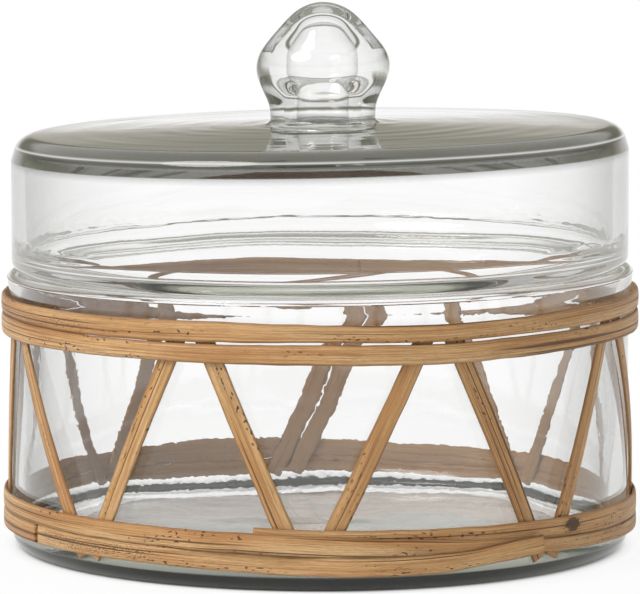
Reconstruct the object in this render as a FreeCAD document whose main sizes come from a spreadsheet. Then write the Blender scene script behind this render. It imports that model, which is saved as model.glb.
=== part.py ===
"""Herb keeper: a glass jar in a cage of flat cane, with a deep glass lid and a hollow glass knob.

Lengths are in millimetres and angles in degrees.  +Z is up and the keeper stands on Z = 0 with its axis
on Z.  The front is -Y, and an angle on the wall is measured from the front towards +X.
"""
import FreeCAD, Part
import math
import os

import Sketcher

doc = FreeCAD.newDocument("HerbKeeper")

# ---------------------------------------------------------------- driving dimensions
SIZES = {
    # jar
    "jar_outer_radius": 97.2,
    "jar_height": 87.5,
    "jar_wall": 4.5,
    "jar_base_thickness": 6.0,
    "jar_heel_radius": 6.0,
    "jar_floor_fillet": 7.0,
    "foot_inner_radius": 78.0,
    "foot_hollow_rise": 1.5,
    "rim_flare": 1.3,
    "rim_band": 6.0,
    "rim_flare_rise": 2.5,
    "rim_rounding": 2.0,
    "rim_inner_rounding": 0.6,
    # lid
    "lid_inset": 1.5,
    "lid_height": 43.5,
    "lid_wall": 4.5,
    "lid_top_thickness": 5.0,
    "lid_shoulder_radius": 8.0,
    "lid_inner_corner_radius": 2.5,
    "lid_crown_rise": 2.0,
    "lid_rim_rounding": 2.6,
    "flange_depth": 1.9,
    "flange_wall": 3.5,
    "flange_clearance": 1.2,
    "flange_root": 2.5,
    # knob, with its heights above the flat pad of the lid that it is joined to
    "knob_radius": 21.2,
    "knob_height": 38.1,
    "knob_neck_radius": 16.5,
    "knob_neck_height": 6.2,
    "knob_neck_rounding": 10.0,
    "knob_belly_height": 19.4,
    "knob_belly_band": 7.0,
    "knob_belly_low_rounding": 10.0,
    "knob_belly_high_rounding": 7.0,
    "knob_crown_corner": 8.0,
    "knob_crown_rounding": 13.0,
    "knob_bore_radius": 6.0,
    "knob_bore_mouth_rounding": 4.0,
    "knob_cavity_radius": 7.0,
    "knob_cavity_floor": 10.0,
    "knob_cavity_top": 28.0,
    "knob_cavity_rounding": 5.0,
    # cane
    "cane_clearance": 0.15,
    "brace_width": 6.0,
    "brace_thickness": 1.2,
    "brace_head_drop": 4.7,
    "brace_foot_drop": 9.3,
    "hoop_width": 6.0,
    "hoop_thickness": 1.7,
    "hoop_rounding": 0.5,
    "hoop_gap": 0.6,
    "hoop_drop": 6.8,
    "hoop_seam": 0.8,
    "wrap_width": 5.8,
    "wrap_thickness": 1.3,
    "wrap_gap": 0.6,
    "wrap_top": 18.5,
}

sheet = doc.addObject("Spreadsheet::Sheet", "Sizes")
for row, (alias, value) in enumerate(SIZES.items(), start=1):
    sheet.set(f"A{row}", alias.replace("_", " "))
    sheet.set(f"B{row}", str(value))
    sheet.setAlias(f"B{row}", alias)
doc.recompute()


def measure(text):
    """The number that an expression of the sheet comes to, or 0 where there is none."""
    return float(sheet.evalExpression(text)) if text else 0.0


# Places that several pieces share, as expressions of the sheet.
JAR_INNER = "Sizes.jar_outer_radius - Sizes.jar_wall"
SEAT = "Sizes.jar_height"
RIM_OUTER = "Sizes.jar_outer_radius + Sizes.rim_flare"
LID_OUTER = f"{RIM_OUTER} - Sizes.lid_inset"
LID_INNER = f"{LID_OUTER} - Sizes.lid_wall"
LID_CORNER = f"{SEAT} + Sizes.lid_height"
LID_PAD = f"{LID_CORNER} + Sizes.lid_crown_rise"
FLANGE_OUTER = f"{JAR_INNER} - Sizes.flange_clearance"
FLANGE_INNER = f"{FLANGE_OUTER} - Sizes.flange_wall"
BRACE_INNER = "Sizes.jar_outer_radius + Sizes.cane_clearance"
BRACE_OUTER = f"{BRACE_INNER} + Sizes.brace_thickness"
BAND_INNER = f"{BRACE_OUTER} + Sizes.cane_clearance"
HOOP_TOP = f"{SEAT} - Sizes.hoop_drop"
BRACE_TOP = f"{HOOP_TOP} - Sizes.brace_head_drop"
BRACE_BOTTOM = "Sizes.wrap_top - Sizes.brace_foot_drop"
BRACE_HEIGHT = f"{BRACE_TOP} - ({BRACE_BOTTOM})"


# ---------------------------------------------------------------- turned bodies
def plane(body, role):
    """The body's own origin plane of that role."""
    return next(item for item in body.Origin.OriginFeatures if item.Role == role)


def circle_edges(shape, radius, height):
    """Names of the shape's round edges of that radius at that height."""
    return [
        f"Edge{number}"
        for number, edge in enumerate(shape.Edges, start=1)
        if isinstance(edge.Curve, Part.Circle)
        and abs(edge.Curve.Radius - radius) < 1e-4
        and abs(edge.Curve.Center.z - height) < 1e-4
    ]


def outline_sketch(body, corners):
    """A closed outline of straight lines in the XZ plane, with each corner bound to the sheet.

    A corner is (name, radius, height), where radius and height are expressions or 0 on an axis.
    """
    sketch = body.newObject("Sketcher::SketchObject", f"{body.Name}_outline")
    sketch.AttachmentSupport = [(plane(body, "XZ_Plane"), "")]
    sketch.MapMode = "FlatFace"
    points = [FreeCAD.Vector(measure(corner[1]), measure(corner[2]), 0) for corner in corners]
    for start, end in zip(points, points[1:] + points[:1]):
        sketch.addGeometry(Part.LineSegment(start, end), False)
    count = len(corners)
    for index in range(count):
        sketch.addConstraint(Sketcher.Constraint("Coincident", index, 2, (index + 1) % count, 1))
    for index, (name, radius, height) in enumerate(corner[:3] for corner in corners):
        for kind, text, value, axis in (
            ("DistanceX", radius, points[index].x, -2),
            ("DistanceY", height, points[index].y, -1),
        ):
            if not text:
                sketch.addConstraint(Sketcher.Constraint("PointOnObject", index, 1, axis))
                continue
            number = sketch.addConstraint(Sketcher.Constraint(kind, -1, 1, index, 1, value))
            sketch.renameConstraint(number, f"{name}_{kind[-1].lower()}")
            sketch.setExpression(f"Constraints[{number}]", text)
    return sketch


def turned_body(name, corners):
    """A body turned about Z from an outline, with the corners that name a rounding filleted."""
    body = doc.addObject("PartDesign::Body", name)
    body.Label = name
    sketch = outline_sketch(body, corners)
    turn = body.newObject("PartDesign::Revolution", f"{name}_turned")
    turn.Profile = sketch
    turn.ReferenceAxis = (sketch, ["V_Axis"])
    turn.Angle = 360.0
    doc.recompute()
    feature = turn
    for corner_name, radius, height, rounding in (corner for corner in corners if len(corner) == 4):
        edges = circle_edges(feature.Shape, measure(radius), measure(height))
        fillet = body.newObject("PartDesign::Fillet", f"{name}_{corner_name}_rounding")
        fillet.Base = (feature, edges)
        fillet.setExpression("Radius", rounding)
        doc.recompute()
        feature = fillet
    body.Tip = feature
    return body


def glass_jar():
    """A straight-sided jar with a rounded heel, a shallow hollow under its base and a beaded rim."""
    return turned_body("glass_jar", [
        ("hollow_centre", 0, "Sizes.foot_hollow_rise"),
        ("foot_inner", "Sizes.foot_inner_radius", 0),
        ("heel", "Sizes.jar_outer_radius", 0, "Sizes.jar_heel_radius"),
        ("rim_start", "Sizes.jar_outer_radius", f"{SEAT} - Sizes.rim_band"),
        ("rim_bead", RIM_OUTER, f"{SEAT} - Sizes.rim_band + Sizes.rim_flare_rise"),
        ("rim_outer", RIM_OUTER, SEAT, "Sizes.rim_rounding"),
        ("rim_inner", JAR_INNER, SEAT, "Sizes.rim_inner_rounding"),
        ("floor_corner", JAR_INNER, "Sizes.jar_base_thickness", "Sizes.jar_floor_fillet"),
        ("floor_centre", 0, "Sizes.jar_base_thickness"),
    ])


def glass_lid():
    """A deep cap on the jar's rim, with a locating flange in the mouth and a bore up into the knob."""
    crown_inner = f"{LID_PAD} - Sizes.lid_top_thickness"
    corner_inner = f"{LID_CORNER} - Sizes.lid_top_thickness"
    root_top = f"{SEAT} + Sizes.flange_root + {LID_INNER} - ({FLANGE_INNER})"
    return turned_body("glass_lid", [
        ("rim_outer", LID_OUTER, SEAT, "Sizes.lid_rim_rounding"),
        ("shoulder", LID_OUTER, LID_CORNER, "Sizes.lid_shoulder_radius"),
        ("pad", "Sizes.knob_neck_radius", LID_PAD),
        ("bore_top", "Sizes.knob_bore_radius", LID_PAD),
        ("bore_mouth", "Sizes.knob_bore_radius", crown_inner, "Sizes.knob_bore_mouth_rounding"),
        ("crown_inner", "Sizes.knob_neck_radius", crown_inner),
        ("inner_corner", LID_INNER, corner_inner, "Sizes.lid_inner_corner_radius"),
        ("root_outer", LID_INNER, root_top),
        ("root_inner", FLANGE_INNER, f"{SEAT} + Sizes.flange_root"),
        ("flange_inner", FLANGE_INNER, f"{SEAT} - Sizes.flange_depth"),
        ("flange_outer", FLANGE_OUTER, f"{SEAT} - Sizes.flange_depth"),
        ("flange_shoulder", FLANGE_OUTER, SEAT),
    ])


def lid_knob():
    """A thick hollow knob on the lid's pad, widest at its belly, with a cavity open to the lid."""
    belly_low = f"{LID_PAD} + Sizes.knob_belly_height - Sizes.knob_belly_band / 2"
    belly_high = f"{LID_PAD} + Sizes.knob_belly_height + Sizes.knob_belly_band / 2"
    neck_top = f"{LID_PAD} + Sizes.knob_neck_height"
    crown = f"{LID_PAD} + Sizes.knob_height"
    cavity_floor = f"{LID_PAD} + Sizes.knob_cavity_floor"
    cavity_top = f"{LID_PAD} + Sizes.knob_cavity_top"
    cavity_step = "(Sizes.knob_cavity_radius - Sizes.knob_bore_radius)"
    return turned_body("lid_knob", [
        ("bore_foot", "Sizes.knob_bore_radius", LID_PAD),
        ("seat", "Sizes.knob_neck_radius", LID_PAD),
        ("neck", "Sizes.knob_neck_radius", neck_top, "Sizes.knob_neck_rounding"),
        ("belly_low", "Sizes.knob_radius", belly_low, "Sizes.knob_belly_low_rounding"),
        ("belly_high", "Sizes.knob_radius", belly_high, "Sizes.knob_belly_high_rounding"),
        ("crown", "Sizes.knob_crown_corner", crown, "Sizes.knob_crown_rounding"),
        ("crown_centre", 0, crown),
        ("cavity_centre", 0, cavity_top),
        ("cavity_top", "Sizes.knob_cavity_radius", cavity_top, "Sizes.knob_cavity_rounding"),
        ("cavity_foot", "Sizes.knob_cavity_radius", f"{cavity_floor} + {cavity_step}"),
        ("bore_head", "Sizes.knob_bore_radius", cavity_floor),
    ])


# ---------------------------------------------------------------- cane hoops below the rim
def upper_hoop(name, top, seam_angle):
    """A strip bent round the braces into a hoop, with its two ends butted at the seam's angle."""
    outer = f"{BAND_INNER} + Sizes.hoop_thickness"
    bottom = f"{top} - Sizes.hoop_width"
    body = doc.addObject("PartDesign::Body", name)
    body.Label = name
    sketch = outline_sketch(body, [
        ("low_inner", BAND_INNER, bottom),
        ("low_outer", outer, bottom),
        ("high_outer", outer, top),
        ("high_inner", BAND_INNER, top),
    ])
    bend = body.newObject("PartDesign::Revolution", f"{name}_bent")
    bend.Profile = sketch
    bend.ReferenceAxis = (sketch, ["V_Axis"])
    bend.Midplane = True
    bend.setExpression("Angle", f"360 - Sizes.hoop_seam / ({BAND_INNER}) * 180 / pi")
    doc.recompute()
    fillet = body.newObject("PartDesign::Fillet", f"{name}_edges")
    long_edges = [
        f"Edge{number}"
        for number, edge in enumerate(bend.Shape.Edges, start=1)
        if isinstance(edge.Curve, Part.Circle)
    ]
    fillet.Base = (bend, long_edges)
    fillet.setExpression("Radius", "Sizes.hoop_rounding")
    body.Tip = fillet
    # The bend is centred on +X, which lies at 90 degrees, so its seam starts out at 270 degrees.
    turn = FreeCAD.Rotation(FreeCAD.Vector(0, 0, 1), seam_angle - 270.0)
    body.Placement = FreeCAD.Placement(FreeCAD.Vector(), turn)
    return body


# ---------------------------------------------------------------- cane winding near the foot
def ease(angle, start, end):
    """0 before start, 1 after end, and a smooth step between them."""
    share = min(max((angle - start) / (end - start), 0.0), 1.0)
    return share * share * (3.0 - 2.0 * share)


def smooth_edge(points, first_angle, last_angle):
    """One long edge of a wound strip: a curve through the points that leaves and arrives level."""
    curve = Part.BSplineCurve()
    start, end = (
        FreeCAD.Vector(math.cos(math.radians(angle)), math.sin(math.radians(angle)), 0)
        for angle in (first_angle, last_angle)
    )
    curve.interpolate(Points=points, InitialTangent=start, FinalTangent=end)
    return curve.toShape()


def wound_strip(name, first_angle, last_angle, level, layer):
    """A strip wound round the braces from one angle to another.

    level(angle) is 1 in the winding's top turn and 0 in its bottom turn, and layer(angle) counts the
    strips that lie beneath this one.
    """
    inner = measure(BAND_INNER)
    half_width = measure("Sizes.wrap_width") / 2
    thickness = measure("Sizes.wrap_thickness")
    turn_rise = measure("Sizes.wrap_width + Sizes.wrap_gap")
    bottom_turn = measure("Sizes.wrap_top") - half_width - turn_rise
    layer_rise = thickness + measure("Sizes.cane_clearance")
    steps = math.ceil((last_angle - first_angle) / WRAP_STEP)
    edge_points = [[], [], [], []]
    for step in range(steps + 1):
        angle = first_angle + (last_angle - first_angle) * step / steps
        sine, cosine = math.sin(math.radians(angle)), math.cos(math.radians(angle))
        low = inner + layer_rise * layer(angle)
        middle = bottom_turn + turn_rise * level(angle)
        section = ((low, -1), (low + thickness, -1), (low + thickness, 1), (low, 1))
        for points, (radius, side) in zip(edge_points, section):
            points.append(FreeCAD.Vector(radius * sine, -radius * cosine, middle + side * half_width))
    edges = [smooth_edge(points, first_angle, last_angle) for points in edge_points]
    same_way = 1
    faces = [
        Part.makeRuledSurface(edge, after, same_way) for edge, after in zip(edges, edges[1:] + edges[:1])
    ]
    for end in (0, -1):
        corners = [points[end] for points in edge_points]
        faces.append(Part.Face(Part.makePolygon(corners + corners[:1])))
    shell = Part.Shell(faces)
    shell.sewShape()
    strip = doc.addObject("Part::Feature", name)
    strip.Label = name
    strip.Shape = Part.Solid(shell)
    return strip


WRAP_STEP = 6.0             # spacing of the points that a wound strip's edges run through
LONG_START = -11.5          # the long strip starts in the top turn, just left of the front
LONG_LIFT = (328.0, 344.0)  # it rises over its own start here
LONG_CROSSING = (348.0, 414.0)  # it comes down from the top turn to the bottom turn here
LONG_DROP = (404.0, 420.0)  # it lies back against the braces here
BUTT_ANGLE = -60.0          # where the long strip's end meets the short strip's start
BUTT_GAP = 0.5
SHORT_END = 41.0            # the short strip ends on the outside, right of the front
SHORT_SINK = (-50.0, -10.0)  # it sinks a little below the bottom turn here
SHORT_LIFT = (-6.0, 9.0)    # it rises over both turns of the long strip here
SHORT_CLIMB = (18.0, SHORT_END)  # it climbs half way up to the top turn here
SINK_SHARE = 0.13
CLIMB_SHARE = 0.5
TURNS_BENEATH = 2


def long_level(angle):
    return 1.0 - ease(angle, *LONG_CROSSING)


def long_layer(angle):
    return ease(angle, *LONG_LIFT) - ease(angle, *LONG_DROP)


def short_level(angle):
    return CLIMB_SHARE * ease(angle, *SHORT_CLIMB) - SINK_SHARE * ease(angle, *SHORT_SINK)


def short_layer(angle):
    return TURNS_BENEATH * ease(angle, *SHORT_LIFT)


# ---------------------------------------------------------------- slanting cane braces
# Each brace's head, behind the upper hoops, and its foot, behind the winding: the angle of the pair that
# the end belongs to, and the side of the pair that it stands on (0 for an end that stands alone).
BRACES = (
    ((-73, 1), (-45.5, -1)),
    ((-22.7, -1), (-45.5, 1)),
    ((-22.7, 1), (-1.8, -1)),
    ((21.5, -1), (-1.8, 1)),
    ((21.5, 1), (44, -1)),
    ((65.5, -1), (44, 1)),
    ((65.5, 1), (94.5, -1)),
    ((112.5, -1), (94.5, 1)),
    ((112.5, 1), (135, -1)),
    ((154.5, 0), (135, 1)),
    ((168, -1), (187, -1)),
    ((168, 1), (187, 1)),
    ((210.5, 0), (229, -1)),
    ((250.5, -1), (229, 1)),
    ((250.5, 1), (272, -1)),
    ((287, -1), (272, 1)),
)
BRACE_LEAN = 28.0           # usual slant of a brace, which sets how far apart two ends of a pair stand


def brace_sleeve():
    """The thin sleeve round the jar that all the braces are cut from."""
    inner = doc.addObject("Part::Cylinder", "brace_sleeve_inner")
    inner.setExpression("Radius", BRACE_INNER)
    outer = doc.addObject("Part::Cylinder", "brace_sleeve_outer")
    outer.setExpression("Radius", BRACE_OUTER)
    for cylinder in (inner, outer):
        cylinder.setExpression("Height", BRACE_HEIGHT)
        cylinder.setExpression("Placement.Base.z", BRACE_BOTTOM)
    sleeve = doc.addObject("Part::Cut", "brace_sleeve")
    sleeve.Base = outer
    sleeve.Tool = inner
    return sleeve


def cane_brace(name, sleeve, head, foot):
    """One slanting strip: what a straight slab, as wide as the strip, takes out of the sleeve."""
    radius = measure(BRACE_INNER)
    height = measure(BRACE_HEIGHT)
    width = measure("Sizes.brace_width")
    pair_pitch = width / math.cos(math.radians(BRACE_LEAN)) + 2 * measure("Sizes.cane_clearance")
    head_angle, foot_angle = (
        angle + side * math.degrees(pair_pitch / 2 / radius) for angle, side in (head, foot)
    )
    half_turn = math.radians(head_angle - foot_angle) / 2
    middle_angle = (head_angle + foot_angle) / 2
    lean = math.degrees(math.atan2(2 * radius * math.sin(half_turn), height))
    slab_length = 2 * height
    slab_depth = 2 * radius

    slab = doc.addObject("Part::Box", f"{name}_slab")
    slab.setExpression("Length", "Sizes.brace_width")
    slab.Width = slab_depth
    slab.Height = slab_length
    upright = FreeCAD.Rotation(FreeCAD.Vector(0, 0, 1), middle_angle)
    leaning = upright.multiply(FreeCAD.Rotation(FreeCAD.Vector(0, 1, 0), lean))
    face_centre = FreeCAD.Vector(width / 2, slab_depth, slab_length / 2)
    axis_point = FreeCAD.Vector(0, 0, measure(BRACE_BOTTOM) + height / 2)
    slab.Placement = FreeCAD.Placement(axis_point - leaning.multVec(face_centre), leaning)

    brace = doc.addObject("Part::Common", name)
    brace.Label = name
    brace.Base = sleeve
    brace.Tool = slab
    return brace


# ---------------------------------------------------------------- the whole keeper
LOW_HOOP_TOP = f"{HOOP_TOP} - Sizes.hoop_width - Sizes.hoop_gap"
sleeve = brace_sleeve()
butt_turn = math.degrees(BUTT_GAP / measure("Sizes.jar_outer_radius"))
parts = [
    glass_jar(),
    glass_lid(),
    lid_knob(),
    upper_hoop("upper_hoop_top", HOOP_TOP, 172.0),
    upper_hoop("upper_hoop_bottom", LOW_HOOP_TOP, 196.0),
    wound_strip("lower_wrap_long", LONG_START, BUTT_ANGLE + 720 - butt_turn, long_level, long_layer),
    wound_strip("lower_wrap_short", BUTT_ANGLE, SHORT_END, short_level, short_layer),
]
parts += [
    cane_brace(f"cane_brace_{number:02d}", sleeve, head, foot)
    for number, (head, foot) in enumerate(BRACES, start=1)
]
doc.recompute()

# ---------------------------------------------------------------- checks, then one STEP file a piece
for item in doc.Objects:
    if "Invalid" in item.State or "Error" in item.State:
        raise RuntimeError(f"{item.Label} did not compute: {item.State}")
for part in parts:
    if part.Shape.isNull() or not part.Shape.isValid() or len(part.Shape.Solids) != 1:
        raise RuntimeError(f"{part.Label} is not one valid solid")

os.makedirs("parts", exist_ok=True)
for part in parts:
    part.Shape.exportStep(f"parts/{part.Label}.step")
    print(f"{part.Label:20s} {part.Shape.Volume:12.1f} mm3")
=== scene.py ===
"""Herb keeper: hand-blown glass jar, lid and knob in a cage of flat cane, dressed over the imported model.

Helpers take millimetres and degrees and write metres.  Angles on the wall are measured from the front
(-Y) towards +X, as in the model.
"""
import math

import bpy
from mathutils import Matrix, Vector, noise


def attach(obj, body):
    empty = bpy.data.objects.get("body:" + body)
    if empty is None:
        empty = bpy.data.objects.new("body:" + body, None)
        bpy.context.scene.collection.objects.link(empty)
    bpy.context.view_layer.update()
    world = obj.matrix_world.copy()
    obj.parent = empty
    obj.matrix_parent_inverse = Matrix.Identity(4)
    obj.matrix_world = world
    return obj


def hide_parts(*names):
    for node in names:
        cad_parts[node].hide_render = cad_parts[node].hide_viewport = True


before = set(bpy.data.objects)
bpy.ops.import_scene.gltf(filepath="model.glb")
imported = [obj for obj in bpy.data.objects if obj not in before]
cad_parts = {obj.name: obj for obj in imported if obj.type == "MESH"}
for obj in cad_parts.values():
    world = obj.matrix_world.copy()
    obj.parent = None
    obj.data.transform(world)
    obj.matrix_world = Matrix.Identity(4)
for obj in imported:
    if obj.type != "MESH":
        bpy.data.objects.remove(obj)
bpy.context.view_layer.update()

MM = 0.001

# ---------------------------------------------------------------- sizes, in millimetres
JAR_RADIUS = 97.2
JAR_HEIGHT = 87.5
JAR_WALL = 4.5
RIM_RADIUS = 98.5
JAR_INNER = JAR_RADIUS - JAR_WALL
LID_RADIUS = 97.0
LID_SEAT = JAR_HEIGHT + 0.12      # a hair above the rim, so that the two glasses don't share a face
LID_CORNER = JAR_HEIGHT + 43.5
LID_PAD = LID_CORNER + 2.0
LID_INNER = LID_RADIUS - 4.5
LID_CEILING = 5.0
FLANGE_OUTER = JAR_INNER - 1.2
FLANGE_INNER = FLANGE_OUTER - 3.5
FLANGE_FOOT = JAR_HEIGHT - 1.9
COLLAR_HIGH = JAR_HEIGHT + 7.8
COLLAR_ROUNDING = 6.0

BRACE_INNER = JAR_RADIUS + 0.15
BRACE_THICKNESS = 1.2
BRACE_WIDTH = 6.0
BAND_INNER = BRACE_INNER + BRACE_THICKNESS + 0.15
HOOP_THICKNESS = 1.6
WRAP_THICKNESS = 1.3
WRAP_LAYER = WRAP_THICKNESS + 0.15

JAR_FLOOR = 6.0                   # the height at which the jar's floor meets its wall
PUSH_UP = 1.5                     # how much higher the base and the floor stand in the middle
BASE_RADIUS = 78.0                # where the heel's slope begins, below the base and on the floor
RIM_FLARE = JAR_HEIGHT - 6.0      # the height about which the jar's wall flares to its rim

KNOB_TOP = LID_PAD + 38.1
KNOB_REACH = 24.0                 # a radius that holds the whole knob
KNOB_SHIFT = 0.9                  # the knob sits this far right of the middle
NECK_RADIUS = 16.5
BORE_RADIUS = 8.3
HOLLOW_RADIUS = 11.4
HOLLOW_TOP = LID_PAD + 30.8

CREASE_DEPTH = 0.7
CREASE_RISE = 0.6
DENT_DEPTH = 0.55

HEIGHT_REACH = 200.0              # what a ramp over the keeper's height spans
UNDER_REACH = 250.0               # the same for the floor under the keeper,
FLOOR_REACH = 800.0               # for the floor round it
MIRROR_REACH = 1000.0             # and for what the glass shows of it

GLASS_TURNS = 360                 # the segments of a glass piece
STRIP_AROUND = 20                 # the points round a strip of cane


# ---------------------------------------------------------------- small helpers
def ease(value, start, end):
    """0 before start, 1 after end, and a smooth step between them."""
    share = min(max((value - start) / (end - start), 0.0), 1.0)
    return share * share * (3.0 - 2.0 * share)


def keyed(value, *keys):
    """A smooth curve through (value, number, number...) keys."""
    keys = [keys[0], *keys, keys[-1]]
    index = 1
    while index < len(keys) - 3 and value > keys[index + 1][0]:
        index += 1
    before, start, end, after = keys[index - 1:index + 3]
    span = end[0] - start[0]
    share = min(max((value - start[0]) / span, 0.0), 1.0)
    numbers = []
    for column in range(1, len(start)):
        first, last = start[column], end[column]
        slope_in = (last - before[column]) / (end[0] - before[0]) * span
        slope_out = (after[column] - first) / (after[0] - start[0]) * span
        square, cube = share * share, share ** 3
        numbers.append(
            first * (2 * cube - 3 * square + 1) + slope_in * (cube - 2 * square + share)
            + last * (3 * square - 2 * cube) + slope_out * (cube - square)
        )
    return numbers


def on_wall(radius, angle, height):
    """The point at that radius, angle and height, in millimetres."""
    turn = math.radians(angle)
    return Vector((radius * math.sin(turn), -radius * math.cos(turn), height))


def handmade_lean(point):
    """How far the hand-made glass and cane are lifted there: up on the right, down on the left."""
    share = 0.9 * ease(point.z, 20.0, JAR_HEIGHT) + 1.1 * ease(point.z, JAR_HEIGHT, 122.0)
    return share * point.x / JAR_RADIUS


def linear(hex_colour):
    """A colour written as sRGB hex, as the linear values that a socket takes."""
    channels = [int(hex_colour[index:index + 2], 16) / 255 for index in (0, 2, 4)]
    return [
        channel / 12.92 if channel <= 0.04045 else ((channel + 0.055) / 1.055) ** 2.4
        for channel in channels
    ] + [1.0]


def mesh_object(name, points, faces):
    """A smooth object of those points, in millimetres, and faces."""
    mesh = bpy.data.meshes.new(name)
    mesh.from_pydata([point * MM for point in points], [], faces)
    mesh.polygons.foreach_set("use_smooth", [True] * len(mesh.polygons))
    mesh.update()
    thing = bpy.data.objects.new(name, mesh)
    bpy.context.scene.collection.objects.link(thing)
    return thing


class Nodes:
    """A node tree being built: each call adds a node, sets its sockets and returns it."""

    def __init__(self, tree):
        self.tree = tree
        tree.nodes.clear()

    def add(self, kind, settings=None, **sockets):
        node = self.tree.nodes.new(kind)
        for key, value in (settings or {}).items():
            setattr(node, key, value)
        for key, value in sockets.items():
            self.put(node, key.replace("_", " "), value)
        return node

    def put(self, node, socket, value):
        target = node.inputs[int(socket)] if socket.isdigit() else node.inputs[socket]
        if isinstance(value, bpy.types.NodeSocket):
            self.tree.links.new(value, target)
        else:
            target.default_value = value

    def math(self, operation, first, second=0.0, third=None, clamp=False):
        node = self.add("ShaderNodeMath", {"operation": operation, "use_clamp": clamp})
        self.put(node, "0", first)
        self.put(node, "1", second)
        if third is not None:
            self.put(node, "2", third)
        return node.outputs[0]

    def noise(self, vector, scale, detail=2.0, roughness=0.5):
        node = self.add(
            "ShaderNodeTexNoise", {"noise_dimensions": "3D"},
            Vector=vector, Scale=scale, Detail=detail, Roughness=roughness,
        )
        return node.outputs["Fac"]

    def scaled(self, vector, factors):
        node = self.add("ShaderNodeVectorMath", {"operation": "MULTIPLY"})
        self.put(node, "0", vector)
        self.put(node, "1", factors)
        return node.outputs[0]

    def length_ramp(self, length, reach, *stops):
        """A ramp over a length in metres, whose stops and reach are in millimetres."""
        share = self.math("MULTIPLY", length, 1.0 / (reach * MM))
        return self.ramp(share, *((place / reach, colour) for place, colour in stops))

    def ramp(self, factor, *stops):
        node = self.add("ShaderNodeValToRGB", Fac=factor)
        elements = node.color_ramp.elements
        while len(elements) < len(stops):
            elements.new(0.5)
        for element, (position, colour) in zip(elements, stops):
            element.position = position
            element.color = colour if isinstance(colour, (list, tuple)) else [colour] * 3 + [1.0]
        return node.outputs["Color"]

    def blend(self, factor, first, second):
        node = self.add("ShaderNodeMix", {"data_type": "RGBA"})
        self.put(node, "0", factor)
        self.put(node, "6", first)
        self.put(node, "7", second)
        return node.outputs[2]

    def mixed(self, factor, first, second):
        """The first shader, and the second where the factor is 1."""
        node = self.add("ShaderNodeMixShader")
        self.put(node, "0", factor)
        self.put(node, "1", first.outputs[0])
        self.put(node, "2", second.outputs[0])
        return node


def new_material(name):
    """A material and its emptied node tree."""
    material = bpy.data.materials.new(name)
    material.use_nodes = True
    return material, Nodes(material.node_tree)


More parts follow.
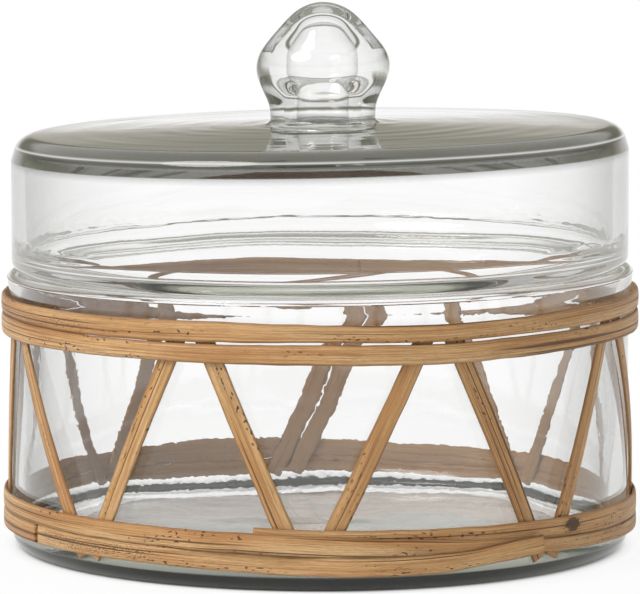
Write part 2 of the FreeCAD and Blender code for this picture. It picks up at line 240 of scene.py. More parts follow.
# ---------------------------------------------------------------- materials
def glass_material(name, ripple_height, painted_shade_tint, shade_streak_share, *trapped_colours):
    """Clear glass with a grey-green depth tint and the fine ripple of hand-blown ware.

    The "part" UV map says how much the skin glows, as painted light, and how much painted shade it has.
    trapped_colours, as (height, colour), are painted light: a glow that the glass gives off to light that it
    has reflected three times.  They, the painted shade's tint, the painted shade in streaks on the lid's top
    and the tint of steep edges, partly painted shade, were chosen to match the photograph, and aren't worked
    out from the glass.  The masks are the same all round the keeper.
    """
    material, nodes = new_material(name)
    place = nodes.add("ShaderNodeTexCoord").outputs["Object"]
    height = nodes.add("ShaderNodeSeparateXYZ", Vector=place).outputs[2]
    part_map = nodes.add("ShaderNodeUVMap", {"uv_map": "part"}).outputs[0]
    part = nodes.add("ShaderNodeSeparateXYZ", Vector=part_map)
    # The first channel is where the skin gives off white, as painted light; the second is where its colour
    # takes the painted shade's tint.
    ground, painted_shade = part.outputs[0], part.outputs[1]
    ripple = nodes.noise(place, 430.0, 1.0)
    bump = nodes.add("ShaderNodeBump", Strength=1.0, Distance=ripple_height, Height=ripple)
    swirl = nodes.noise(nodes.scaled(place, (9.0, 60.0, 60.0)), 1.0, 3.0)

    # Painted shade: the body colour darkens to the tint on the jar's heel and on the lid's shoulder.
    body = nodes.blend(painted_shade, [1.0, 1.0, 1.0, 1.0], linear(painted_shade_tint))
    # Painted shade: brown-grey streaks darken the lid's top, in a band round its corner.
    lid_top = nodes.length_ramp(
        height, HEIGHT_REACH,
        (LID_CORNER - 3.0, 0.0), (LID_CORNER - 1.8, shade_streak_share),
        (LID_CORNER + 4.0, shade_streak_share), (LID_CORNER + 5.4, 0.0),
    )
    shade_streaks = nodes.math("MULTIPLY", nodes.math("SUBTRACT", swirl, 0.32), 3.6, clamp=True)
    body = nodes.blend(nodes.math("MULTIPLY", shade_streaks, lid_top), body, linear("4E4943"))

    # Edge-on glass on the knob and upright walls is tinted dark olive: partly its real depth tint, partly
    # painted shade.
    facing = nodes.add("ShaderNodeLayerWeight", Blend=0.5).outputs["Facing"]
    grazed = nodes.ramp(facing, (0.2, 0.0), (0.45, 0.2), (0.9, 0.9))
    knob = nodes.length_ramp(height, HEIGHT_REACH, (LID_PAD + 1.0, 0.0), (LID_PAD + 5.0, 1.0))
    normal = nodes.add("ShaderNodeNewGeometry").outputs["Normal"]
    slope = nodes.add("ShaderNodeSeparateXYZ", Vector=normal).outputs[2]
    upright = nodes.ramp(nodes.math("ABSOLUTE", slope), (0.3, 0.75), (0.6, 0.0))
    steep = nodes.math("MULTIPLY", grazed, nodes.math("MAXIMUM", knob, upright))
    body = nodes.blend(steep, body, linear("3E4230"))

    glass = nodes.add(
        "ShaderNodeBsdfPrincipled",
        Base_Color=body, Roughness=0.0, IOR=1.5, Normal=bump.outputs[0],
    )
    glass.inputs["Transmission Weight"].default_value = 1.0
    nodes.put(glass, "Specular IOR Level", nodes.math("MULTIPLY_ADD", painted_shade, -0.35, 0.5))

    path = nodes.add("ShaderNodeLightPath")
    # Painted light: past three reflections the glass gives off a glow, coloured by height and paler in
    # streaks, in place of the light that further paths would bring.
    streak = nodes.math("MULTIPLY", nodes.math("SUBTRACT", swirl, 0.52), 2.4, clamp=True)
    given_off = nodes.length_ramp(height, HEIGHT_REACH, *trapped_colours)
    given_off = nodes.blend(streak, given_off, linear("BDB6AC"))
    trapped = nodes.add("ShaderNodeEmission", Color=given_off, Strength=1.0)
    reflected = nodes.math("GREATER_THAN", path.outputs["Glossy Depth"], 2.5)
    surface = nodes.mixed(reflected, glass, trapped)
    # Painted light: the seat, and a thin line round the lid's shoulder as a painted highlight, give off
    # white.
    glow_white = nodes.add("ShaderNodeEmission", Color=linear("F2F2F0"), Strength=1.0)
    surface = nodes.mixed(ground, surface, glow_white)
    clear = nodes.add("ShaderNodeBsdfTransparent", Color=[0.88, 0.89, 0.88, 1.0])
    surface = nodes.mixed(path.outputs["Is Shadow Ray"], surface, clear)
    tint = nodes.add("ShaderNodeVolumeAbsorption", Color=[0.36, 0.44, 0.34, 1.0], Density=5.0)
    nodes.add("ShaderNodeOutputMaterial", Surface=surface.outputs[0], Volume=tint.outputs[0])
    return material


def cane_material():
    """Rattan peel: honey-coloured, with long dark grain lines, specks and a satin skin.

    The "strip" UV map holds the distance along the strip in metres and the place across it, from -1 to 1.
    The "look" map holds how far outward the skin faces, from 0 to 1, and how worn it is.
    """
    material, nodes = new_material("keeper_cane")
    strip = nodes.add("ShaderNodeUVMap", {"uv_map": "strip"}).outputs[0]
    split = nodes.add("ShaderNodeSeparateXYZ", Vector=strip)
    along, across = split.outputs[0], split.outputs[1]

    def stretched(along_scale, across_scale):
        vector = nodes.add("ShaderNodeCombineXYZ")
        nodes.put(vector, "X", nodes.math("MULTIPLY", along, along_scale))
        nodes.put(vector, "Y", nodes.math("MULTIPLY", across, across_scale))
        return vector.outputs[0]

    def laid_over(colour, mask, strength, tone):
        return nodes.blend(nodes.math("MULTIPLY", mask, strength), colour, linear(tone))

    look_map = nodes.add("ShaderNodeUVMap", {"uv_map": "look"}).outputs[0]
    look = nodes.add("ShaderNodeSeparateXYZ", Vector=look_map)
    face, rough = look.outputs[0], look.outputs[1]

    tone = nodes.noise(stretched(16.0, 0.4), 1.0, 2.0)
    fibre = nodes.noise(stretched(10.0, 5.5), 1.0, 2.0, 0.55)
    crack = nodes.noise(stretched(7.0, 3.3), 1.0, 1.0)
    hair = nodes.noise(stretched(60.0, 17.0), 1.0, 2.0, 0.6)
    dash = nodes.noise(stretched(330.0, 11.0), 1.0, 2.0, 0.6)
    speck = nodes.noise(stretched(700.0, 4.0), 1.0, 0.0)
    patch = nodes.noise(stretched(26.0, 0.9), 1.0, 1.0)

    colour = nodes.ramp(
        tone, (0.32, linear("C08A54")), (0.5, linear("D4A56E")), (0.68, linear("E6BF8C")),
    )
    light_line = nodes.ramp(fibre, (0.55, 0.0), (0.68, 1.0))
    colour = laid_over(colour, light_line, 0.5, "E9CB9C")
    dark_line = nodes.ramp(fibre, (0.34, 1.0), (0.48, 0.0))
    colour = laid_over(colour, dark_line, 0.55, "8F6238")
    fine_line = nodes.ramp(hair, (0.36, 1.0), (0.52, 0.0))
    colour = laid_over(colour, fine_line, 0.6, "8E6239")
    split_line = nodes.ramp(crack, (0.33, 1.0), (0.385, 0.0))
    colour = laid_over(colour, split_line, 0.9, "5C3B20")
    mottle = nodes.ramp(dash, (0.36, 1.0), (0.5, 0.0))
    colour = laid_over(colour, mottle, 0.3, "936840")
    edge = nodes.ramp(nodes.math("ABSOLUTE", across), (0.74, 0.0), (1.0, 1.0))
    colour = laid_over(colour, edge, 0.65, "6E4A2A")
    dots = nodes.ramp(speck, (0.66, 0.0), (0.70, 1.0))
    zone = nodes.ramp(patch, (0.55, 0.0), (0.64, 1.0))
    spotted = nodes.math("MULTIPLY", dots, zone)
    pit = nodes.noise(stretched(1500.0, 9.0), 1.0, 1.0)
    pits = nodes.math("MULTIPLY", nodes.ramp(pit, (0.58, 0.0), (0.62, 1.0)), rough, clamp=True)
    spotted = nodes.math("MAXIMUM", spotted, pits)
    colour = laid_over(colour, spotted, 0.88, "3E2513")
    knot = nodes.math("MULTIPLY", nodes.math("SUBTRACT", rough, 1.1), 4.0, clamp=True)
    colour = laid_over(colour, knot, 0.9, "4A3019")
    # The strips' inner faces are greyer and darker: partly the peel's duller underside, partly painted shade
    # on faces turned to the glass.
    inner = nodes.ramp(face, (0.15, 1.0), (0.4, 0.0))
    colour = laid_over(colour, inner, 0.8, "AA825F")

    height = nodes.math("SUBTRACT", nodes.math("MULTIPLY", fibre, 0.6), nodes.math("MULTIPLY", spotted, 0.6))
    height = nodes.math("ADD", height, nodes.math("MULTIPLY", hair, 0.25))
    height = nodes.math("SUBTRACT", height, nodes.math("MULTIPLY", split_line, 0.3))
    bump = nodes.add("ShaderNodeBump", Strength=1.0, Distance=0.0005, Height=height)
    shader = nodes.add(
        "ShaderNodeBsdfPrincipled", Base_Color=colour, Roughness=0.48, Normal=bump.outputs[0],
    )
    shader.inputs["Specular IOR Level"].default_value = 0.35
    nodes.add("ShaderNodeOutputMaterial", Surface=shader.outputs[0])
    return material


# Each glass: ripple height, the painted shade's tint, the share of painted shade in streaks on the lid's
# top, then the colours of the painted glow by height.
JAR_GLASS = glass_material(
    "jar_glass", 0.000008, "060705", 0.0,
    (0.0, linear("D6D2CC")), (40.0, linear("D6D2CC")), (60.0, linear("B9B3AC")),
)
LID_GLASS = glass_material(
    "lid_glass", 0.000002, "403F39", 0.6,
    (110.0, linear("B4B0AA")), (120.0, linear("A3A296")),
    (135.0, linear("9A998E")), (140.0, linear("5E604C")),
)
CANE = cane_material()


# ---------------------------------------------------------------- glass
def rounded_outline(corners, step):
    """Points along an open outline of (radius, height, rounding) corners, at most a step apart."""
    flat = [Vector(corner[:2]) for corner in corners]
    stretches = [[flat[0]]]
    for index in range(1, len(flat) - 1):
        point, rounding = flat[index], corners[index][2]
        before, after = (flat[index - 1] - point).normalized(), (flat[index + 1] - point).normalized()
        if not rounding:
            stretches.append([point])
            continue
        half = before.angle(after) / 2
        reach = rounding / math.tan(half)
        centre = point + (before + after).normalized() * (rounding / math.sin(half))
        first, last = point + before * reach - centre, point + after * reach - centre
        sweep = first.angle_signed(last)
        count = max(6, math.ceil(abs(math.degrees(sweep)) / 3.5))
        arc = []
        for piece in range(count + 1):
            turn = -sweep * piece / count
            arc.append(centre + Vector((
                first.x * math.cos(turn) - first.y * math.sin(turn),
                first.x * math.sin(turn) + first.y * math.cos(turn),
            )))
        stretches.append(arc)
    stretches.append([flat[-1]])
    points = []
    for stretch in stretches:
        if points:
            gap = stretch[0] - points[-1]
            count = math.ceil(gap.length / step)
            points += [points[-1] + gap * piece / count for piece in range(1, count)]
        points += stretch
    return points


def softened(outline, rounds):
    """The outline, which starts on the axis, with its curves eased into each other."""
    for _ in range(rounds):
        mirrored = [Vector((-outline[1].x, outline[1].y)), *outline]
        inner = [
            (mirrored[at - 1] + mirrored[at] * 2 + mirrored[at + 1]) / 4
            for at in range(1, len(outline))
        ]
        outline = [*inner, outline[-1]]
    return outline


def turned_glass(outline, segments, shape):
    """A closed turned mesh; shape(point, normal) gives where each point of the outline's turns goes."""
    points, faces = [], []
    last = len(outline) - 1
    rings = []
    for index, spot in enumerate(outline):
        way = outline[min(index + 1, last)] - outline[max(index - 1, 0)]
        across = Vector((way.y, -way.x)).normalized()
        count = 1 if spot.x < 1e-6 else segments
        rings.append(range(len(points), len(points) + count))
        for piece in range(count):
            angle = 360.0 * piece / segments
            point = on_wall(spot.x, angle, spot.y)
            normal = on_wall(across.x, angle, across.y)
            points.append(shape(point, normal))
    for low, high in zip(rings, rings[1:]):
        for piece in range(segments):
            after = (piece + 1) % segments
            if len(low) == 1:
                faces.append((low[0], high[after], high[piece]))
            elif len(high) == 1:
                faces.append((low[piece], low[after], high[0]))
            else:
                faces.append((low[piece], low[after], high[after], high[piece]))
    return points, faces


def wave(point, across_size, up_size, seed):
    """Smooth noise from -1 to 1 whose waves are that many millimetres long."""
    return noise.noise(Vector((
        point.x / across_size + seed, point.y / across_size - seed, point.z / up_size + 0.5 * seed,
    )))


def glass_jar():
    """The jar: straight outside and uneven inside, as blown glass is, with an uneven floor."""
    outline = rounded_outline([
        (0, PUSH_UP, 0),
        (BASE_RADIUS, 0, 6.0),
        (JAR_RADIUS, 0, 4.8),
        (JAR_RADIUS, RIM_FLARE - 4.0, 30.0),
        (RIM_RADIUS - 0.1, RIM_FLARE + 3.0, 20.0),
        (RIM_RADIUS - 0.1, JAR_HEIGHT, 1.8),
        (JAR_INNER + 0.8, JAR_HEIGHT, 0.8),
        (JAR_INNER + 0.8, RIM_FLARE + 3.0, 20.0),
        (JAR_INNER, RIM_FLARE - 4.0, 30.0),
        (JAR_INNER, JAR_FLOOR, 7.0),
        (BASE_RADIUS, JAR_FLOOR, 6.0),
        (0, JAR_FLOOR + PUSH_UP, 0),
    ], 2.5)

    def shape(point, normal):
        radius = math.hypot(point.x, point.y)
        inside = radius < JAR_RADIUS - 1.0 and point.z > 5.5
        if inside and radius < JAR_INNER - 7.0:
            depth = 0.16 * wave(point, 34.0, 30.0, 3.1) + 0.03 * wave(point, 11.0, 11.0, 8.2)
        elif inside:
            depth = 0.30 * wave(point, 42.0, 26.0, 1.7) + 0.03 * wave(point, 16.0, 8.0, 5.5)
            depth *= 1.0 - ease(point.z, 84.0, 87.0)
        else:
            depth = 0.10 * wave(point, 60.0, 36.0, 2.3) + 0.012 * wave(point, 14.0, 8.0, 4.4)
            depth *= ease(point.z, 1.0, 8.0) * (1.0 - ease(point.z, 82.0, 86.5))
        moved = point + normal * depth
        moved.z += handmade_lean(point)
        return moved

    return turned_glass(outline, GLASS_TURNS, shape)


def creased(point):
    """How the ragged crease at the lid's collar, and the dents above it at the sides, move its inner wall.

    They fade towards the front, where the photograph shows none.
    """
    outward = Vector((point.x, point.y, 0)).normalized()
    side = ease(abs(point.x), 40.0, 75.0)
    back = ease(point.y, -70.0, -10.0)
    mark = math.exp(-((point.z - COLLAR_HIGH) / (0.5 + 0.4 * side)) ** 2)
    dents = back * side * math.exp(-((point.z - COLLAR_HIGH - 1.6) / 1.5) ** 2)
    moved = outward * (-DENT_DEPTH * dents * wave(point, 5.0, 2.6, 6.6))
    if mark > 0.01:
        ragged = wave(point, 9.0, 200.0, 5.2) + 0.8 * wave(point, 2.6, 200.0, 1.1)
        moved -= outward * (mark * back * CREASE_DEPTH * (1.0 + side + ragged))
        moved.z += mark * back * CREASE_RISE * wave(point, 5.0, 200.0, 8.1)
    return moved


def knob_outline():
    """The outside of the knob, from its top down to its neck."""
    return softened(rounded_outline([
        (0, KNOB_TOP, 0),
        (6.4, KNOB_TOP + 0.1, 13.5),
        (23.0, LID_PAD + 19.3, 9.5),
        (NECK_RADIUS, LID_PAD + 6.0, 6.0),
        (NECK_RADIUS, LID_PAD + 2.5, 0),
    ], 0.6), 40)


def hollow_outline():
    """The hollow in the knob, from its top down to the bore, which opens into the lid."""
    return softened(rounded_outline([
        (0, HOLLOW_TOP, 0),
        (4.2, HOLLOW_TOP, 7.5),
        (HOLLOW_RADIUS, LID_PAD + 20.8, 7.0),
        (HOLLOW_RADIUS, LID_PAD + 15.5, 4.0),
        (BORE_RADIUS, LID_PAD + 11.0, 4.0),
        (BORE_RADIUS, LID_PAD + 4.0, 0),
    ], 0.6), 16)


def glass_lid():
    """The lid and its knob, joined hot: one skin of glass, open from below into the knob's hollow."""
    ceiling = LID_CORNER - LID_CEILING
    crease = [(LID_INNER, COLLAR_HIGH + 0.3 * step, 0) for step in range(1, 18)]
    tilts = [math.radians(70.0 * step / 24) for step in range(24, -1, -1)]
    fillet = [
        (
            LID_INNER - COLLAR_ROUNDING * (1.0 - math.cos(tilt)),
            COLLAR_HIGH - COLLAR_ROUNDING * math.sin(tilt),
            0,
        )
        for tilt in tilts
    ]
    outline = rounded_outline([
        *((spot.x, spot.y, 0) for spot in knob_outline()),
        (NECK_RADIUS, LID_PAD, 2.0),
        (LID_RADIUS - 2.3, LID_CORNER + 0.05, 6.0),
        (LID_RADIUS, LID_CORNER - 7.4, 1.2),
        (LID_RADIUS, LID_SEAT, 3.8),
        (FLANGE_OUTER, LID_SEAT, 0.5),
        (FLANGE_OUTER, FLANGE_FOOT, 0.9),
        (FLANGE_INNER, FLANGE_FOOT, 0.9),
        *fillet,
        *crease,
        (LID_INNER, ceiling, 1.0),
        (15.0, ceiling, 6.0),
        (BORE_RADIUS, ceiling + 5.0, 5.0),
        *((spot.x, spot.y, 0) for spot in reversed(hollow_outline())),
    ], 2.2)[::-1]

    def shape(point, normal):
        radius = math.hypot(point.x, point.y)
        on_knob = point.z > LID_PAD - 1.0 and radius < KNOB_REACH
        ring = ease(point.z, JAR_HEIGHT + 1.0, JAR_HEIGHT + 9.0)
        if on_knob:
            depth = 0.22 * wave(point, 16.0, 12.0, 9.3)
        elif point.z > LID_CORNER - 4.0 or radius > LID_INNER + 1.5:
            swirl = noise.noise(Vector((radius / 5.0, math.atan2(point.y, point.x) * 1.6, 4.0)))
            swirl *= ease(point.z, LID_CORNER - 4.0, LID_CORNER)
            depth = ring * 0.10 * wave(point, 50.0, 30.0, 6.1) + 0.05 * swirl
        else:
            depth = ring * (0.16 * wave(point, 40.0, 30.0, 7.7) + 0.012 * wave(point, 12.0, 9.0, 3.6))
        moved = point + normal * depth
        if LID_INNER - 1.0 < radius < LID_INNER + 0.5:
            moved += creased(point)
        if on_knob or radius < KNOB_REACH and point.z > ceiling + 1.0:
            moved.x += KNOB_SHIFT
        moved.z += handmade_lean(point)
        return moved

    return turned_glass(outline, GLASS_TURNS, shape)


def jar_parts(radius, height):
    """How much the jar's skin glows and how much painted shade it has there, the same all round: no glow,
    and painted shade on its heel.
    """
    return 0.0, (1.0 - ease(height, 4.4, 5.2)) * ease(radius, 84.0, 88.0)


def lid_parts(radius, height):
    """How much the lid's skin glows and how much painted shade it has there, the same all round: painted
    light on the seat, a painted highlight round the shoulder, and painted shade on the shoulder.
    """
    # Painted light: the flat seat on the rim gives off white.
    seat = float(abs(height - LID_SEAT) < 0.03 and radius > FLANGE_OUTER + 0.6)
    outside = float(radius > LID_INNER + 1.0)
    # Painted highlight: a thin white line round the outside of the shoulder, just below its corner.
    painted_highlight = 0.8 * math.exp(-((height - LID_CORNER + 3.0) / 0.25) ** 2) * outside
    # Painted shade on the lid's shoulder, a little lighter near its corner.
    shoulder = ease(height, LID_CORNER - 8.0, LID_CORNER - 7.3) * ease(radius, 84.0, 92.0)
    shoulder *= 1.0 - 0.25 * ease(height, LID_CORNER - 4.4, LID_CORNER - 3.4)
    shoulder *= float(radius > LID_INNER + 1.0 or height > LID_CORNER - 3.0)
    return max(seat, painted_highlight), shoulder


def glass_piece(name, built, parts, material, body, replaced):
    """A glass object on that body; parts(radius, height) gives how much its skin glows, as painted light,
    and how much painted shade it has.
    """
    points, faces = built
    piece = mesh_object(name, points, faces)
    masks = []
    for point in points:
        level = point.z - handmade_lean(point)
        masks.append(parts(math.hypot(point.x, point.y), level))
    uv = piece.data.uv_layers.new(name="part")
    for loop in piece.data.loops:
        uv.data[loop.index].uv = masks[loop.vertex_index]
    piece.data.materials.append(material)
    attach(piece, body)
    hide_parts(*replaced)


# ---------------------------------------------------------------- cane
def cane_strip(name, place, thickness, length_steps, seed, replaced, worn=None):
    """A flat-oval strip; place(share) gives its inner face's radius, angle and height, and its width.

    worn(angle, across), where it is given, says how frayed the strip's bark is there, from 0 to 1.
    """
    centres, widths, angles = [], [], []
    for step in range(length_steps + 1):
        radius, angle, height, width = place(step / length_steps)
        centres.append(on_wall(radius + thickness / 2, angle, height))
        widths.append(width)
        angles.append(angle)
    points, faces, places, looks = [], [], [], []
    run = 0.0
    for step, centre in enumerate(centres):
        before, after = centres[max(step - 1, 0)], centres[min(step + 1, length_steps)]
        run += (centre - centres[step - 1]).length * MM if step else 0.0
        way = (after - before).normalized()
        out = Vector((centre.x, centre.y, 0)).normalized()
        side = way.cross(out).normalized()
        out = side.cross(way).normalized()
        whole = ease(min(step, length_steps - step) / length_steps, 0.0, 0.012)
        drift = 0.10 * whole * noise.noise(Vector((run * 60.0, seed, 0.0)))
        for corner in range(STRIP_AROUND):
            turn = 2 * math.pi * corner / STRIP_AROUND
            cosine, sine = math.cos(turn), math.sin(turn)
            across = math.copysign(abs(cosine) ** 0.62, cosine)
            rise = math.copysign(abs(sine) ** 0.75, sine)
            ridge = 0.05 * noise.noise(Vector((run * 25.0, across * 6.0, seed + 7.0)))
            edge = 0.14 * whole * noise.noise(Vector((run * 130.0, seed * 3.0, math.copysign(2.0, across))))
            half = widths[step] / 2
            point = centre + side * (across * (half + edge) + drift) + out * (rise * thickness / 2 + ridge)
            point.z += handmade_lean(point)
            points.append(point)
            places.append((run + 3.7 * seed, across))
            looks.append((0.5 + 0.5 * sine, worn(angles[step], across) if worn else 0.0))
    for step in range(length_steps):
        low, high = step * STRIP_AROUND, (step + 1) * STRIP_AROUND
        for corner in range(STRIP_AROUND):
            after = (corner + 1) % STRIP_AROUND
            faces.append((low + corner, low + after, high + after, high + corner))
    faces.append(tuple(reversed(range(STRIP_AROUND))))
    end = length_steps * STRIP_AROUND
    faces.append(tuple(range(end, end + STRIP_AROUND)))
    strip = mesh_object(name, points, faces)
    for cap in strip.data.polygons[-2:]:
        cap.use_smooth = False
    for layer, values in (("strip", places), ("look", looks)):
        uv = strip.data.uv_layers.new(name=layer)
        for loop in strip.data.loops:
            uv.data[loop.index].uv = values[loop.vertex_index]
    strip.data.materials.append(CANE)
    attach(strip, "keeper")
    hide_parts(replaced)


def upper_hoop(name, node, seam_angle, seed, worn, *keys):
    """A hoop of one strip whose two ends butt together at the back; keys are (angle, height, width)."""
    around = [(keys[-1][0] - 360.0, *keys[-1][1:]), *keys, (keys[0][0] + 360.0, *keys[0][1:])]

    def place(share):
        angle = seam_angle + 360.0 * share
        turned = (angle - keys[0][0]) % 360.0 + keys[0][0]
        return BAND_INNER, angle, *keyed(turned, *around)

    cane_strip(name, place, HOOP_THICKNESS, 480, seed, node, worn)


def top_hoop_worn(angle, across):
    """The top strip's bark is worn through on the left."""
    turned = (angle + 180.0) % 360.0 - 180.0
    along = ease(turned, -82.0, -76.0) * (1.0 - ease(turned, -50.0, -40.0))
    return along * (1.0 - ease(abs(across - 0.1), 0.4, 0.7))


def long_wrap():
    """The long strip of the lower winding, nearly two turns, crossing over its own start."""
    first, last = -11.5, 658.8

    def place(share):
        angle = first + (last - first) * share
        layer = ease(angle, 328.0, 344.0) - ease(angle, 404.0, 420.0)
        return BAND_INNER + WRAP_LAYER * layer, angle, *keyed(angle, *LONG_WRAP_COURSE)

    def worn(angle, across):
        return 1.4 * (1.0 - ease(math.hypot((angle - 50.2) / 3.4, across + 0.1), 0.6, 1.0))

    cane_strip("long_wrap_cane", place, WRAP_THICKNESS, 900, 5.0, "lower_wrap_long", worn)


def short_wrap():
    """The short strip of the lower winding, whose end lies on the outside, right of the front."""
    first, last = -60.0, 41.0

    def place(share):
        angle = first + (last - first) * share
        layer = 2.0 * ease(angle, -6.0, 9.0)
        return BAND_INNER + WRAP_LAYER * layer, angle, *keyed(angle, *SHORT_WRAP_COURSE)

    def worn(angle, across):
        along = ease(angle, -59.0, -55.0) * (1.0 - ease(angle, -34.0, -28.0))
        return along * (1.0 - ease(abs(across), 0.55, 0.85))

    cane_strip("short_wrap_cane", place, WRAP_THICKNESS, 200, 6.0, "lower_wrap_short", worn)


# The courses of the hand-laid strips, as (angle, height, width): read from the photograph at the front,
# and inferred at the back.
TOP_HOOP_COURSE = (
    (-75.0, 78.25, 5.9), (-38.0, 77.9, 6.4), (-17.0, 78.1, 6.2), (0.0, 77.75, 5.3), (21.0, 77.0, 5.2),
    (39.0, 77.5, 5.15), (54.0, 77.95, 5.9), (69.0, 78.05, 5.9), (180.0, 77.75, 5.9),
)
BOTTOM_HOOP_COURSE = (
    (-75.0, 72.0, 6.5), (-38.0, 71.75, 5.75), (-17.0, 71.5, 5.8), (0.0, 71.4, 6.2), (21.0, 70.75, 6.1),
    (39.0, 71.2, 6.2), (54.0, 71.45, 5.9), (69.0, 71.4, 6.0), (180.0, 71.3, 6.0),
)
LONG_WRAP_COURSE = (
    (-11.5, 16.9, 5.8), (0.0, 16.3, 5.8), (21.0, 15.8, 5.8), (36.0, 15.4, 6.1), (55.0, 15.0, 6.6),
    (64.0, 14.85, 6.9), (86.0, 14.4, 6.8), (110.0, 15.2, 6.4), (180.0, 15.4, 6.3), (270.0, 15.7, 6.1),
    (283.0, 15.9, 5.8), (296.0, 15.95, 5.6), (314.0, 15.75, 5.75), (343.0, 15.35, 6.1),
    (349.0, 15.15, 6.2), (360.0, 14.3, 6.2), (377.0, 13.2, 5.5), (385.0, 12.4, 5.1), (391.0, 12.0, 5.0),
    (396.0, 11.5, 4.8), (401.0, 10.8, 4.1), (415.0, 9.65, 4.2), (424.0, 9.2, 4.1), (446.0, 8.6, 4.9),
    (470.0, 9.0, 6.0), (540.0, 9.2, 6.15), (630.0, 9.6, 6.1), (643.0, 10.05, 6.1), (659.2, 10.15, 6.1),
)
SHORT_WRAP_COURSE = (
    (-60.2, 10.15, 6.1), (-30.0, 9.8, 5.7), (-13.0, 9.05, 6.1), (0.0, 8.35, 5.9), (11.0, 8.3, 5.7),
    (21.0, 8.65, 5.9), (28.0, 9.65, 5.3), (35.0, 10.95, 5.9), (41.0, 11.6, 5.8),
)

# Each brace's head and foot: the angle of the place where it meets its neighbour, and the side of that
# place on which it lies: -1 left, 1 right, 0 in the middle.
BRACES = (
    ((-73, 1), (-45.5, -1)),
    ((-23.6, -1), (-45.8, 1)),
    ((-22.7, 1), (-1.8, -1)),
    ((20.7, -1), (-2.2, 1)),
    ((21.5, 1), (44, -1)),
    ((65.5, -1), (44, 1)),
    ((65.5, 1), (94.5, -1)),
    ((112.5, -1), (94.5, 1)),
    ((112.5, 1), (135, -1)),
    ((154.5, 0), (135, 1)),
    ((168, -1), (187, -1)),
    ((168, 1), (187, 1)),
    ((210.5, 0), (229, -1)),
    ((250.5, -1), (229, 1)),
    ((250.5, 1), (272, -1)),
    ((287, -1), (272, 1)),
)
BRACE_LEAN = 28.0
BRACE_TOP = 76.0
BRACE_BOTTOM = 9.2
BRACE_TIP = 6.6


def cane_brace(number, head, foot):
    """A slanting strip on the glass, from below the winding up behind the hoops."""
    pitch = BRACE_WIDTH / math.cos(math.radians(BRACE_LEAN)) + 0.3
    half_pitch = math.degrees(pitch / 2 / BRACE_INNER)
    head_angle = head[0] + head[1] * half_pitch
    foot_angle = foot[0] + foot[1] * half_pitch
    turn_per_height = (head_angle - foot_angle) / (BRACE_TOP - BRACE_BOTTOM)

    def place(share):
        height = BRACE_TIP + (BRACE_TOP - BRACE_TIP) * share
        angle = foot_angle + turn_per_height * (height - BRACE_BOTTOM)
        return BRACE_INNER, angle, height, BRACE_WIDTH

    node = f"cane_brace_{number:02d}"
    cane_strip(f"{node}_cane", place, BRACE_THICKNESS, 56, 10.0 + number, node)


# ---------------------------------------------------------------- stage, light and camera
def floor():
    """A pale floor with the keeper's soft shadow, white farther out, and a painted shadow in a ring under
    the jar.
    """
    size = 4000.0
    corners = [Vector((x * size, y * size, 0)) for x, y in ((-1, -1), (1, -1), (1, 1), (-1, 1))]
    ground = mesh_object("floor", corners, [(0, 1, 2, 3)])
    material, nodes = new_material("floor_paint")
    distance = nodes.add("ShaderNodeVectorMath", {"operation": "LENGTH"})
    nodes.put(distance, "0", nodes.add("ShaderNodeNewGeometry").outputs["Position"])
    away = distance.outputs["Value"]

    foot = nodes.length_ramp(away, UNDER_REACH, (62.5, 0.0), (65.0, 1.0))
    # Painted shadow: a grey ring, darker outward, under the jar's heel.
    rim = nodes.length_ramp(away, UNDER_REACH, (81.25, linear("D4D5C9")), (85.0, linear("7A7D70")))
    under = nodes.blend(foot, linear("ECEAE6"), rim)
    open_floor = nodes.length_ramp(away, UNDER_REACH, (92.5, 0.0), (95.0, 1.0))
    under = nodes.blend(open_floor, under, linear("F4F4F4"))
    paint = nodes.add("ShaderNodeBsdfDiffuse", Color=under)
    white = nodes.add("ShaderNodeEmission", Color=[1.0, 1.0, 1.0, 1.0], Strength=1.0)

    path = nodes.add("ShaderNodeLightPath")
    seen = nodes.math("ADD", path.outputs["Is Camera Ray"], path.outputs["Is Glossy Ray"])
    seen = nodes.math("ADD", seen, path.outputs["Is Transmission Ray"], clamp=True)
    share = nodes.length_ramp(away, FLOOR_REACH, (93.6, 0.0), (97.6, 0.9), (160.0, 0.97), (320.0, 1.0))
    mirrored = nodes.length_ramp(away, MIRROR_REACH, (60.0, 0.85), (64.0, 0.0), (102.0, 0.0), (112.0, 0.9))
    straight = nodes.math("LESS_THAN", path.outputs["Glossy Depth"], 0.5)
    inside = nodes.length_ramp(away, MIRROR_REACH, (96.0, 1.0), (101.0, 0.0))
    mirrored = nodes.math("MAXIMUM", mirrored, nodes.math("MULTIPLY", straight, inside))
    through_glass = nodes.math("SUBTRACT", 1.0, path.outputs["Is Camera Ray"])
    mirrored = nodes.math("MULTIPLY", mirrored, through_glass)
    whiteness = nodes.math("MULTIPLY", nodes.math("MAXIMUM", share, mirrored), seen)
    nodes.add("ShaderNodeOutputMaterial", Surface=nodes.mixed(whiteness, paint, white).outputs[0])
    ground.data.materials.append(material)


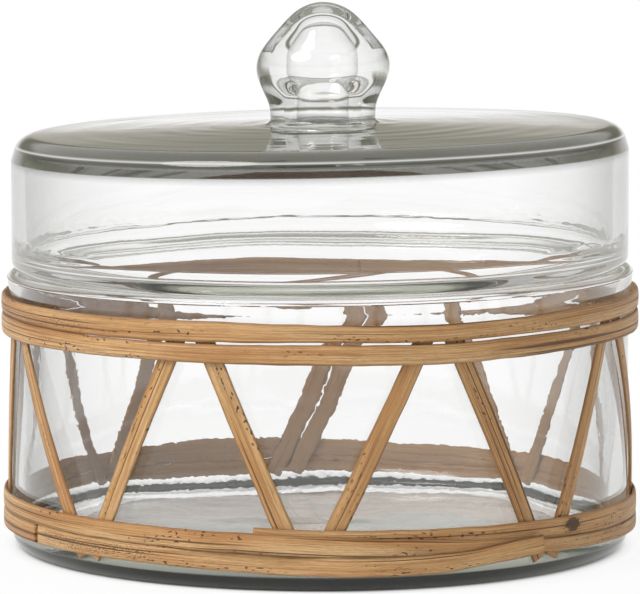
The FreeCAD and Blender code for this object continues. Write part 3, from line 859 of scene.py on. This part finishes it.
def room():
    """A white room to the camera; the glass shows it white low down, then olive-grey, and pale higher up."""
    world = bpy.data.worlds.new("room")
    bpy.context.scene.world = world
    world.use_nodes = True
    nodes = Nodes(world.node_tree)
    way = nodes.add("ShaderNodeTexCoord").outputs["Generated"]
    up = nodes.add("ShaderNodeSeparateXYZ", Vector=way).outputs[2]
    blotch = nodes.noise(way, 5.0, 2.0)
    up = nodes.math("ADD", up, nodes.math("MULTIPLY", nodes.math("SUBTRACT", blotch, 0.5), 0.06))
    seen = nodes.ramp(
        up,
        (0.0, 1.0),
        (0.045, 1.0),
        (0.08, [0.66, 0.63, 0.58, 1.0]),
        (0.115, [0.36, 0.34, 0.29, 1.0]),
        (0.16, [0.17, 0.17, 0.13, 1.0]),
        (0.24, [0.20, 0.20, 0.16, 1.0]),
        (0.32, 0.8),
        (0.60, 0.9),
        (0.80, 1.0),
    )
    path = nodes.add("ShaderNodeLightPath")
    through = nodes.math(
        "ADD", path.outputs["Is Glossy Ray"], path.outputs["Is Transmission Ray"], clamp=True,
    )
    plain = nodes.add("ShaderNodeBackground", Color=[0.97, 0.985, 1.0, 1.0], Strength=0.50)
    mirrored = nodes.add("ShaderNodeBackground", Color=seen, Strength=1.0)
    white = nodes.add("ShaderNodeBackground", Color=[1.0, 1.0, 1.0, 1.0], Strength=1.0)
    first = nodes.mixed(through, plain, mirrored)
    last = nodes.mixed(path.outputs["Is Camera Ray"], first, white)
    nodes.add("ShaderNodeOutputWorld", Surface=last.outputs[0])


def lamp(name, place, aim, size, power, colour):
    """A round lamp at that place, turned to its aim."""
    light = bpy.data.lights.new(name, "AREA")
    light.shape = "DISK"
    light.size = size
    light.energy = power
    light.color = colour
    thing = bpy.data.objects.new(name, light)
    thing.location = place
    thing.rotation_euler = (Vector(aim) - Vector(place)).to_track_quat("-Z", "Y").to_euler()
    bpy.context.scene.collection.objects.link(thing)


def camera():
    """The photograph's view: 6.3 degrees down from 1.5 m in front."""
    distance, height, tilt = 1.5, 0.24334, 6.2975
    eye = bpy.data.cameras.new("camera")
    eye.sensor_width = 36.0
    eye.lens = 269.06
    eye.clip_start = 0.05
    thing = bpy.data.objects.new("camera", eye)
    thing.location = (0.0, -distance, height)
    thing.rotation_euler = (math.radians(90.0 - tilt), 0.0, 0.0)
    bpy.context.scene.collection.objects.link(thing)
    bpy.context.scene.camera = thing


# ---------------------------------------------------------------- the whole keeper
glass_piece("jar_glass", glass_jar(), jar_parts, JAR_GLASS, "keeper", ["glass_jar"])
glass_piece("lid_glass", glass_lid(), lid_parts, LID_GLASS, "lid", ["glass_lid", "lid_knob"])
upper_hoop("upper_hoop_top_cane", "upper_hoop_top", 172.0, 1.0, top_hoop_worn, *TOP_HOOP_COURSE)
upper_hoop("upper_hoop_bottom_cane", "upper_hoop_bottom", 196.0, 2.0, None, *BOTTOM_HOOP_COURSE)
long_wrap()
short_wrap()
for number, (head, foot) in enumerate(BRACES, start=1):
    cane_brace(number, head, foot)

floor()
room()
lamp("key", place=(-1.0, -0.8, 1.35), aim=(0, 0, 0.08), size=1.0, power=21.0, colour=(1.0, 0.985, 0.96))
camera()
bpy.context.scene.view_settings.view_transform = "Standard"
